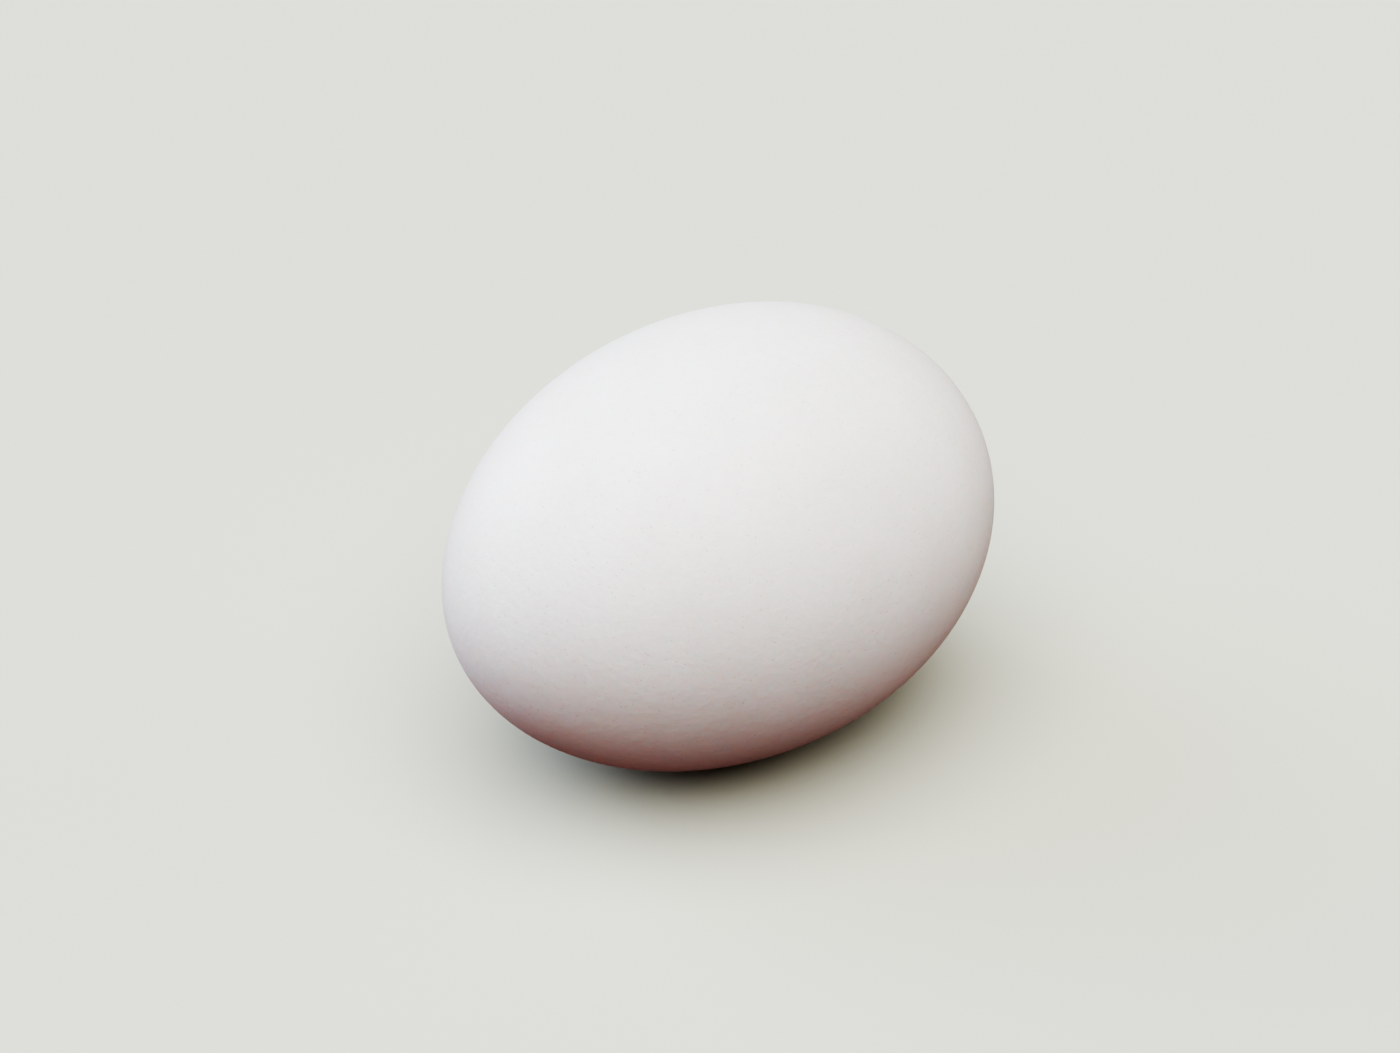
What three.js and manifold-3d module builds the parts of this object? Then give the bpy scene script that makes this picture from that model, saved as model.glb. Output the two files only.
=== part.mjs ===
// A whole hen egg lying on its side, as it comes to rest on a table.
// Millimetres, +Z up. The long axis runs along X, with the blunt end towards +X and a little raised.
// The origin is the middle of the small flat spot that the egg rests on.
import * as THREE from "three";
import { mergeVertices } from "three/addons/utils/BufferGeometryUtils.js";
import Module from "manifold-3d";

// Driving dimensions
const EGG_LENGTH = 58; // pole to pole
const EGG_WIDTH = 43.2; // across the middle of the length
const BLUNTNESS = 0.035; // how much fuller the blunt half is, as a share of the radius
const REST_SPOT_DEPTH = 0.2; // how deep the flat rest spot cuts into the curve of the shell

// Fineness of the faceted surface
const RING_COUNT = 44; // rings from pole to pole
const TURN_COUNT = 72; // facets around each ring

const POLE_ANGLE = Math.PI / 2; // the outline runs from -POLE_ANGLE, the pointed pole, to +POLE_ANGLE

// The outline of the shell is an ellipse made slightly fuller towards its blunt end.
// Distance along the long axis from the middle of the length, at one angle of the outline.
function alongAxis(angle) {
  return (EGG_LENGTH / 2) * Math.sin(angle);
}

// Radius about the long axis, at one angle of the outline.
function shellRadius(angle) {
  return (EGG_WIDTH / 2) * Math.cos(angle) * (1 + BLUNTNESS * Math.sin(angle));
}

// The centroid of the solid turned from this outline, on the long axis: the integral of the
// outline has this closed form.
const CENTROID = (EGG_LENGTH / 2) * ((2 * BLUNTNESS) / (5 + BLUNTNESS ** 2));

// An egg settles with its centre of mass as low as it can be, so it stands on the point of the
// shell that is nearest to the centroid. The search narrows in on that angle of the outline.
function restingAngle() {
  const distance = (angle) => Math.hypot(alongAxis(angle) - CENTROID, shellRadius(angle));
  let low = -POLE_ANGLE / 2;
  let high = POLE_ANGLE / 2;
  while (high - low > 1e-7) {
    const third = (high - low) / 3;
    if (distance(low + third) < distance(high - third)) high -= third;
    else low += third;
  }
  return (low + high) / 2;
}

// Library solids for the boolean cut.
const manifold = await Module();
manifold.setup();

function solidOf(geometry) {
  const bare = geometry.clone();
  bare.deleteAttribute("normal");
  bare.deleteAttribute("uv");
  const merged = mergeVertices(bare);
  return new manifold.Manifold(
    new manifold.Mesh({
      numProp: 3,
      vertProperties: merged.attributes.position.array,
      triVerts: new Uint32Array(merged.index.array),
    }),
  );
}

function geometryOf(solid) {
  const mesh = solid.getMesh();
  const geometry = new THREE.BufferGeometry();
  geometry.setAttribute("position", new THREE.BufferAttribute(mesh.vertProperties, 3));
  geometry.setIndex(new THREE.BufferAttribute(mesh.triVerts, 1));
  geometry.computeVertexNormals();
  return geometry;
}

// The outline turned about its long axis, which a lathe makes the Y axis.
function turnedShell() {
  const outline = [];
  for (let ring = 0; ring <= RING_COUNT; ring++) {
    const angle = -POLE_ANGLE + (2 * POLE_ANGLE * ring) / RING_COUNT;
    outline.push(new THREE.Vector2(Math.max(shellRadius(angle), 0), alongAxis(angle)));
  }
  return new THREE.LatheGeometry(outline, TURN_COUNT);
}

// The egg laid along X and tipped to its resting tilt, with its lowest point on the Z axis, just
// low enough for a cut at Z = 0 to leave the flat rest spot.
function lyingEgg() {
  const contact = restingAngle();
  const lever = CENTROID - alongAxis(contact); // how far the contact is towards the pointed end
  const height = Math.hypot(lever, shellRadius(contact)); // of the centroid above the contact
  const tilt = Math.asin(lever / height);

  const shell = turnedShell();
  shell.rotateZ(-Math.PI / 2); // the lathe's +Y pole, the blunt one, to +X
  shell.translate(-CENTROID, 0, 0);
  shell.rotateY(-tilt); // raises the blunt end
  shell.translate(0, 0, height - REST_SPOT_DEPTH);

  const table = new THREE.BoxGeometry(EGG_LENGTH, EGG_WIDTH, EGG_WIDTH);
  table.translate(0, 0, -EGG_WIDTH / 2); // its top face is Z = 0
  return geometryOf(solidOf(shell).subtract(solidOf(table)));
}

const eggshell = new THREE.MeshStandardMaterial({ color: 0xf0eeec, roughness: 0.55, metalness: 0 });

const egg = new THREE.Mesh(lyingEgg(), eggshell);
egg.name = "egg";

const part = new THREE.Group();
part.add(egg);

export default part;
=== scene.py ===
# %% [markdown]
# # A white hen's egg, lying on its side
#
# The object is one whole egg. Nothing about it is sharp or busy, so it stands or falls on three things:
# an outline that is really an egg's and not an ellipse's, a shell that looks like matte, faintly
# translucent mineral and not like plastic, and soft light that shows both. The script starts from the
# imported model, which fixes the size and place, and takes the egg's middle and width from that model's
# box.

# %% Load the imported model
import math

import bmesh
import bpy
from mathutils import Matrix, Vector, noise


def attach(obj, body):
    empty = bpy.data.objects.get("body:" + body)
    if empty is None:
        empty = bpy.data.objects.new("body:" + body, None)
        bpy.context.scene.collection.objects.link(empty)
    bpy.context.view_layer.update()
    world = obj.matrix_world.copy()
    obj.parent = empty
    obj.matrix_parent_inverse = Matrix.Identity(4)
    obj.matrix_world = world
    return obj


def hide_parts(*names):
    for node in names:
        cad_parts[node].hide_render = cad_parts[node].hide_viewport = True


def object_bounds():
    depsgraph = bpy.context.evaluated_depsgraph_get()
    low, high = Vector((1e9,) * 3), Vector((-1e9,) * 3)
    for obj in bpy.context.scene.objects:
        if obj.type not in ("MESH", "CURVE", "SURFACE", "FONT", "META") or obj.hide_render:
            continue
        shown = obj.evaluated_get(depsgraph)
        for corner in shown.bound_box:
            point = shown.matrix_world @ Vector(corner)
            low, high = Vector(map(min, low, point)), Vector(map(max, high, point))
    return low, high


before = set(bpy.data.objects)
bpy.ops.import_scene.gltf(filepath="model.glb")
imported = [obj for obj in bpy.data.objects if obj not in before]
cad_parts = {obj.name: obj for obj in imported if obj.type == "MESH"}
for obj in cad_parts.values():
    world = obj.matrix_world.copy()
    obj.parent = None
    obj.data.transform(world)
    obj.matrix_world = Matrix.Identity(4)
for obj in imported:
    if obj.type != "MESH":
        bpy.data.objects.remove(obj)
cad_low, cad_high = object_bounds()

# %% [markdown]
# ## Taking the measures from the solid
#
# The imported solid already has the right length, width and tilt, so they are read from it and not typed
# in again. The long axis runs from the pointed pole to the blunt one. In each half of an egg the pole is
# the point furthest from the middle, so two searches find them. The box's Y side is the width, because
# the long axis has no part of it along Y.

# %% Measure the solid
solid_points = [vertex.co.copy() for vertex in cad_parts["egg"].data.vertices]
box_middle = (cad_low + cad_high) / 2


def furthest(points):
    return max(points, key=lambda point: (point - box_middle).length)


blunt_pole = furthest(point for point in solid_points if point.x > 0)
pointed_pole = furthest(point for point in solid_points if point.x < 0)
long_axis = blunt_pole - pointed_pole
egg_length = long_axis.length
egg_width = cad_high.y - cad_low.y
tilt = math.asin(long_axis.z / egg_length)
egg_middle = (blunt_pole + pointed_pole) / 2
print(f"length {egg_length * 1000:.2f} mm, width {egg_width * 1000:.2f} mm")
print(f"blunt end raised by {math.degrees(tilt):.2f} degrees")

# %% [markdown]
# ## The shape of the shell
#
# An egg's outline is close to an ellipse that is a little fuller towards its blunt end. How much fuller is
# the one number that the solid's own script also states. The shell could be spun from a profile, but a
# spin leaves a pole of thin triangles at each end, just where the shading is most sensitive. An icosphere
# has no poles. It is stretched to the egg's length and width, and then each point moves in or out from the
# long axis by how far along it the point lies.

# %% Stretch an icosphere into an egg
MILLIMETRE = 0.001
BLUNTNESS = 0.035  # how much fuller the blunt half is, as a share of the radius
SUBDIVISIONS = 7  # triangles about 0.45 mm wide

shell = bmesh.new()
bmesh.ops.create_icosphere(shell, subdivisions=SUBDIVISIONS, radius=1)
half_length = egg_length / 2
half_width = egg_width / 2
bmesh.ops.scale(shell, vec=(half_length, half_width, half_width), verts=shell.verts)
for vertex in shell.verts:
    fuller = 1 + BLUNTNESS * vertex.co.x / half_length
    vertex.co.y *= fuller
    vertex.co.z *= fuller
print(f"{len(shell.faces)} triangles, {len(shell.verts)} vertices")

# %% [markdown]
# ## Slight unevenness
#
# A real shell is laid down on a soft membrane, and its surface wanders by a few hundredths of a
# millimetre. It is far too little to see in the outline, but it bends the sheen a little, which is what
# keeps the egg from looking turned on a lathe. Smooth noise in two sizes moves each point along its
# normal.

# %% Let the surface wander
SWELLS = [(14 * MILLIMETRE, 0.045 * MILLIMETRE), (4 * MILLIMETRE, 0.010 * MILLIMETRE)]  # width, height

shell.normal_update()
largest_move = 0
for vertex in shell.verts:
    move = sum(height * noise.noise(vertex.co / width) for width, height in SWELLS)
    vertex.co += vertex.normal * move
    largest_move = max(largest_move, abs(move))
print(f"surface moved by up to {largest_move / MILLIMETRE:.3f} mm")

# %% [markdown]
# ## Lying down on a flat spot
#
# The egg is tipped to its resting tilt and set where the solid is. A shell touches a table at a point;
# the part has a small flat there, so that it can rest without rolling. The lowest points reach a fifth of
# a millimetre below the table. A cut and a filled hole would make the flat, but the cut leaves slivers at
# its rim, so each of those points is lifted straight up to the table, and the triangles keep their shape.

# %% Tilt, place and flatten the rest spot
bmesh.ops.rotate(shell, cent=(0, 0, 0), matrix=Matrix.Rotation(-tilt, 3, "Y"), verts=shell.verts)
bmesh.ops.translate(shell, vec=egg_middle, verts=shell.verts)
flat_points = [vertex.co for vertex in shell.verts if vertex.co.z < 0]
spot_depth = -min(point.z for point in flat_points)
for point in flat_points:
    point.z = 0

spot_length = max(point.x for point in flat_points) - min(point.x for point in flat_points)
spot_width = max(point.y for point in flat_points) - min(point.y for point in flat_points)
print(f"rest spot {spot_length / MILLIMETRE:.1f} x {spot_width / MILLIMETRE:.1f} mm")
print(f"lowest point lifted by {spot_depth / MILLIMETRE:.2f} mm")

# %% [markdown]
# ## Into the scene
#
# The mesh becomes one smooth-shaded object at the origin, with its place in its points. It rides on the
# root body and stands for the plain solid.

# %% Make the egg object
shell_mesh = bpy.data.meshes.new("eggshell")
shell.to_mesh(shell_mesh)
shell.free()
shell_mesh.shade_smooth()
eggshell = bpy.data.objects.new("eggshell", shell_mesh)
bpy.context.scene.collection.objects.link(eggshell)
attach(eggshell, "root")
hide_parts("egg")
print(eggshell.name, "has", len(shell_mesh.polygons), "faces")

# %% [markdown]
# ## Colours and nodes
#
# Colours are chosen as sRGB hex values, which is how paint programs show them, but shaders work with
# linear light. One function converts them. A second one adds a shader node: its settings go in by name,
# and each input is either linked, when it is given a socket, or set to a value.

# %% Two helpers for materials
def linear(hex_colour):
    """An sRGB hex colour such as '#F0EEEB' as linear red, green, blue and alpha."""
    channels = [int(hex_colour[start : start + 2], 16) / 255 for start in (1, 3, 5)]
    bent = [c / 12.92 if c <= 0.04045 else ((c + 0.055) / 1.055) ** 2.4 for c in channels]
    return (*bent, 1)


def add_node(tree, kind, settings, inputs):
    """Adds a node, sets its settings, and links or sets each of the inputs named."""
    made = tree.nodes.new(kind)
    for name, value in settings.items():
        setattr(made, name, value)
    sockets = {socket.identifier: socket for socket in made.inputs}
    for name, given in inputs.items():
        if isinstance(given, bpy.types.NodeSocket):
            tree.links.new(given, sockets[name])
        else:
            sockets[name].default_value = given
    return made


def new_material(name):
    """An empty node material and its tree."""
    made = bpy.data.materials.new(name)
    made.use_nodes = True
    made.node_tree.nodes.clear()
    return made, made.node_tree


print("off-white in linear light:", [round(c, 3) for c in linear("#F0EEEB")])

# %% [markdown]
# ## Eggshell: calcite with a dry bloom
#
# A white shell is calcite crystal laid on a membrane, about a third of a millimetre thick, with a dry
# protein bloom over it. To the eye that gives a matte white with a very broad, weak sheen. Light also
# sinks in and comes out again a few millimetres away, redder than it went in, which softens the shadow
# side and turns it a warm rose. That is real scattering under the surface, so the Principled shader's
# subsurface does it, and nothing is painted on.

# %% Start the eggshell material
bloomed_calcite, tree = new_material("bloomed_calcite_shell")
place = add_node(tree, "ShaderNodeTexCoord", {}, {}).outputs["Object"]
print("material", bloomed_calcite.name)

# %% [markdown]
# ### Colour
#
# White hens' eggs aren't one white. The shell is denser in some places than in others, and shows cloudy
# patches some millimetres wide that differ by a few parts in a hundred, and a finer mottle inside them.

# %% Cloudy white
CLOUD_WIDTH = 7 * MILLIMETRE
MOTTLE_WIDTH = 0.9 * MILLIMETRE
MOTTLE_SHARE = 0.35  # the rest comes from the clouds
THIN_WHITE = "#EBEAE7"
DENSE_WHITE = "#F2F2F1"
LEAST_DENSE, MOST_DENSE = 0.3, 0.7  # noise seldom goes outside these

clouds = add_node(
    tree,
    "ShaderNodeTexNoise",
    {},
    {"Vector": place, "Scale": 1 / CLOUD_WIDTH, "Detail": 2, "Roughness": 0.5},
)
mottle = add_node(
    tree,
    "ShaderNodeTexNoise",
    {},
    {"Vector": place, "Scale": 1 / MOTTLE_WIDTH, "Detail": 1, "Roughness": 0.5},
)
density = add_node(
    tree,
    "ShaderNodeMix",
    {"data_type": "FLOAT"},
    {
        "Factor_Float": MOTTLE_SHARE,
        "A_Float": clouds.outputs["Fac"],
        "B_Float": mottle.outputs["Fac"],
    },
)
white = add_node(tree, "ShaderNodeValToRGB", {}, {"Fac": density.outputs["Result"]})
white.color_ramp.elements[0].position = LEAST_DENSE
white.color_ramp.elements[0].color = linear(THIN_WHITE)
white.color_ramp.elements[1].position = MOST_DENSE
white.color_ramp.elements[1].color = linear(DENSE_WHITE)
print("clouds", CLOUD_WIDTH / MILLIMETRE, "mm, mottle", MOTTLE_WIDTH / MILLIMETRE, "mm")

# %% [markdown]
# ### Pores
#
# Pores let the egg breathe, about one in each square millimetre. Each is a funnel some hundredths of a
# millimetre across, too fine to show, so it is drawn a quarter of a millimetre wide. Voronoi cells fill
# space with unevenly placed middles. A middle that lies close to the surface makes a pore there, and with
# cells of this width that leaves a little under one in each square millimetre. Dust and shadow make the
# mouth of a pore a trace darker than the shell round it.

# %% Pores
CELL_WIDTH = 0.72 * MILLIMETRE
PORE_RADIUS = 0.14 * MILLIMETRE
PORE_SHADE = "#D8D5D0"

cells = add_node(
    tree,
    "ShaderNodeTexVoronoi",
    {"feature": "F1"},
    {"Vector": place, "Scale": 1 / CELL_WIDTH, "Randomness": 1},
)
pore = add_node(
    tree,
    "ShaderNodeMapRange",
    {"interpolation_type": "SMOOTHSTEP"},
    {
        "Value": cells.outputs["Distance"],
        "From Min": 0,
        "From Max": PORE_RADIUS / CELL_WIDTH,
        "To Min": 1,
        "To Max": 0,
    },
)
shaded = add_node(
    tree,
    "ShaderNodeMix",
    {"data_type": "RGBA"},
    {
        "Factor_Float": pore.outputs["Result"],
        "A_Color": white.outputs["Color"],
        "B_Color": linear(PORE_SHADE),
    },
)
pored_white = next(socket for socket in shaded.outputs if socket.type == "RGBA")
pores_per_area = 2 * PORE_RADIUS / CELL_WIDTH**3 * MILLIMETRE**2
print(f"about {pores_per_area:.2f} pores in each square millimetre")

# %% [markdown]
# ### Relief
#
# Between the pores the shell is faintly pebbled, because the crystal columns end at slightly different
# heights. Two sizes of noise give that, and the pores sink into it. Heights are in metres, the same unit
# as the mesh. Noise keeps mostly to the middle of its range, so the pebbles stand up by less than half of
# the value given. That is still a few times the real height and width, because the real ones would be too
# fine to show.

# %% Height of the surface
PEBBLE_WIDTH = 0.7 * MILLIMETRE
PEBBLE_HEIGHT = 0.06 * MILLIMETRE
GRAIN_WIDTH = 0.25 * MILLIMETRE
GRAIN_HEIGHT = 0.014 * MILLIMETRE
PORE_DEPTH = 0.03 * MILLIMETRE

height = 0
for pattern_width, pattern_height in [(PEBBLE_WIDTH, PEBBLE_HEIGHT), (GRAIN_WIDTH, GRAIN_HEIGHT)]:
    pattern = add_node(
        tree,
        "ShaderNodeTexNoise",
        {},
        {"Vector": place, "Scale": 1 / pattern_width, "Detail": 1, "Roughness": 0.5},
    )
    height = add_node(
        tree,
        "ShaderNodeMath",
        {"operation": "MULTIPLY_ADD"},
        {"Value": pattern.outputs["Fac"], "Value_001": pattern_height, "Value_002": height},
    ).outputs["Value"]
height = add_node(
    tree,
    "ShaderNodeMath",
    {"operation": "MULTIPLY_ADD"},
    {"Value": pore.outputs["Result"], "Value_001": -PORE_DEPTH, "Value_002": height},
).outputs["Value"]
relief = add_node(tree, "ShaderNodeBump", {}, {"Strength": 1, "Distance": 1, "Height": height})
print("pebbles", PEBBLE_WIDTH / MILLIMETRE, "mm wide, pores", PORE_DEPTH / MILLIMETRE, "mm deep")

# %% [markdown]
# ### Sheen and depth
#
# The bloom scatters reflections widely, so the roughness is high, and it lies unevenly, so the roughness
# follows the clouds a little. A third of the light bounces straight off the crystal and keeps the relief
# crisp. The rest goes in, and its scattering distance is longest for red.

# %% Finish the eggshell material
CALCITE_IOR = 1.5
THIN_ROUGHNESS = 0.60
DENSE_ROUGHNESS = 0.50
SCATTER_SHARE = 0.65
SCATTER_DISTANCE = 8 * MILLIMETRE  # for red
SCATTER_RANGE = (1, 0.5, 0.4)  # red, green and blue, as shares of that distance

bloom = add_node(
    tree,
    "ShaderNodeMapRange",
    {},
    {
        "Value": density.outputs["Result"],
        "From Min": LEAST_DENSE,
        "From Max": MOST_DENSE,
        "To Min": THIN_ROUGHNESS,
        "To Max": DENSE_ROUGHNESS,
    },
)
shader = add_node(
    tree,
    "ShaderNodeBsdfPrincipled",
    {},
    {
        "Base Color": pored_white,
        "Roughness": bloom.outputs["Result"],
        "Normal": relief.outputs["Normal"],
        "IOR": CALCITE_IOR,
        "Subsurface Weight": SCATTER_SHARE,
        "Subsurface Radius": SCATTER_RANGE,
        "Subsurface Scale": SCATTER_DISTANCE,
    },
)
add_node(tree, "ShaderNodeOutputMaterial", {}, {"Surface": shader.outputs["BSDF"]})
eggshell.data.materials.append(bloomed_calcite)
print("scattering", SCATTER_DISTANCE / MILLIMETRE, "mm in red")

# %% [markdown]
# ## Soft light
#
# A white egg shows its form by light that comes from above and hardly at all from below. A sun lamp with
# a wide angle acts as a huge distant softbox, and it lights the whole floor evenly. Four of them do the
# work, each placed by its azimuth from the viewer's side, positive to the right. The key is nearly
# overhead. A cool lamp behind on the left and a weaker low one carry the light round the left side and
# its far edge, as a window does, and a faint warm one keeps the right edge from going grey.

# %% A soft lamp
CAMERA_AZIMUTH = -36.2  # degrees, from the egg's side towards its pointed end
CAMERA_ELEVATION = 33.5


def direction(azimuth, elevation):
    """From the egg towards a point at this azimuth, where 0 is towards -Y, and this elevation."""
    turn, rise = math.radians(azimuth), math.radians(elevation)
    level = math.cos(rise)
    return Vector((math.sin(turn) * level, -math.cos(turn) * level, math.sin(rise)))


def soft_lamp(name, azimuth, elevation, strength, width, colour):
    """Adds a distant soft lamp and returns the light that it gives to each square metre of floor."""
    lamp = bpy.data.lights.new(name, "SUN")
    lamp.energy = strength
    lamp.angle = math.radians(width)
    lamp.color = linear(colour)[:3]
    placed = bpy.data.objects.new(name, lamp)
    towards = direction(CAMERA_AZIMUTH + azimuth, elevation)
    placed.rotation_mode = "QUATERNION"
    placed.rotation_quaternion = towards.to_track_quat("Z", "Y")
    bpy.context.scene.collection.objects.link(placed)
    print(name, "light from", [round(c, 2) for c in towards])
    return Vector(lamp.color) * strength * towards.z


# %% Place the lamps
floor_light = soft_lamp("key", 0, 72, 4.6, 70, "#FFFEFB")
floor_light += soft_lamp("left", -105, 35, 1.6, 50, "#C4DDFF")
floor_light += soft_lamp("low_left", -125, 12, 1.5, 45, "#FFFAF6")
floor_light += soft_lamp("right", 100, 15, 0.6, 45, "#FFF8E7")
print("light on the floor", [round(c, 2) for c in floor_light])

# %% [markdown]
# ## A plain pale floor
#
# The floor is a wide flat disc of matte cream board. It isn't part of the object. A pale floor would
# throw so much light up that the underside of a white egg would be nearly as bright as its top, and the
# form would be lost. In a studio, black card round the subject takes that light away. Here the floor does
# it: rays from the camera meet the pale board, and every other ray meets a dark warm brown. That isn't how
# a real pale floor behaves, and seen from low down the egg's lower half looks brown because of it. With
# both colours the same, the floor is plain board. The backdrop shows the colour that the lit board has, so
# no horizon shows, and it gives no light.

# %% Make the floor
FLOOR_RADIUS = 6  # metres
FLOOR_SIDES = 96
FLOOR_COLOUR = "#C3C5B6"
SURROUND_COLOUR = "#644541"

floor_disc = bmesh.new()
bmesh.ops.create_circle(floor_disc, cap_ends=True, segments=FLOOR_SIDES, radius=FLOOR_RADIUS)
floor_mesh = bpy.data.meshes.new("floor")
floor_disc.to_mesh(floor_mesh)
floor_disc.free()
floor = bpy.data.objects.new("floor", floor_mesh)
bpy.context.scene.collection.objects.link(floor)

matte_board, tree = new_material("matte_cream_board")
pale_board = add_node(tree, "ShaderNodeBsdfDiffuse", {}, {"Color": linear(FLOOR_COLOUR)})
dark_surround = add_node(tree, "ShaderNodeBsdfDiffuse", {}, {"Color": linear(SURROUND_COLOUR)})
ray = add_node(tree, "ShaderNodeLightPath", {}, {})
board = add_node(
    tree,
    "ShaderNodeMixShader",
    {},
    {
        "Fac": ray.outputs["Is Camera Ray"],
        "Shader": dark_surround.outputs["BSDF"],
        "Shader_001": pale_board.outputs["BSDF"],
    },
)
add_node(tree, "ShaderNodeOutputMaterial", {}, {"Surface": board.outputs["Shader"]})
floor.data.materials.append(matte_board)
print("floor radius", FLOOR_RADIUS, "m")

# %% Backdrop
board_colour = linear(FLOOR_COLOUR)[:3]
lit_board = [paint * light / math.pi for paint, light in zip(board_colour, floor_light)]

backdrop = bpy.data.worlds.new("backdrop")
backdrop.use_nodes = True
tree = backdrop.node_tree
tree.nodes.clear()
ray = add_node(tree, "ShaderNodeLightPath", {}, {})
glow = add_node(
    tree,
    "ShaderNodeBackground",
    {},
    {"Color": (*lit_board, 1), "Strength": ray.outputs["Is Camera Ray"]},
)
add_node(tree, "ShaderNodeOutputWorld", {}, {"Surface": glow.outputs["Background"]})
bpy.context.scene.world = backdrop
print("lit board", [round(c, 3) for c in lit_board])

# %% [markdown]
# ## Camera
#
# The viewer looks down on the egg from in front and to its pointed side, from about a third of a metre
# away. It aims at the middle of the egg's volume, which for this outline lies from the middle of its
# length towards the blunt end. The egg sits slightly off the middle of the picture, so the camera moves
# sideways with its aim, and its lens isn't shifted.

# %% Place the camera
SENSOR_WIDTH = 36  # in millimetres, as the lens is
CAMERA_DISTANCE = 0.3456  # metres
EGG_RIGHT_OF_MIDDLE = 2.28 * MILLIMETRE
EGG_BELOW_MIDDLE = 0.91 * MILLIMETRE
PICTURE_WIDTH = 135.3 * MILLIMETRE  # what the picture takes in, at the egg's distance

centroid = egg_middle + long_axis * BLUNTNESS / (5 + BLUNTNESS**2)
camera_data = bpy.data.cameras.new("camera")
camera_data.sensor_width = SENSOR_WIDTH
camera_data.lens = SENSOR_WIDTH * CAMERA_DISTANCE / PICTURE_WIDTH
camera = bpy.data.objects.new("camera", camera_data)
to_camera = direction(CAMERA_AZIMUTH, CAMERA_ELEVATION)
camera.rotation_mode = "QUATERNION"
camera.rotation_quaternion = to_camera.to_track_quat("Z", "Y")
right, up, _ = camera.rotation_quaternion.to_matrix().col
camera.location = centroid + to_camera * CAMERA_DISTANCE
camera.location += up * EGG_BELOW_MIDDLE - right * EGG_RIGHT_OF_MIDDLE
bpy.context.scene.collection.objects.link(camera)
bpy.context.scene.camera = camera
bpy.context.scene.view_settings.view_transform = "AgX"
bpy.context.scene.view_settings.look = "AgX - Very High Contrast"
print(f"lens {camera_data.lens:.1f} mm")
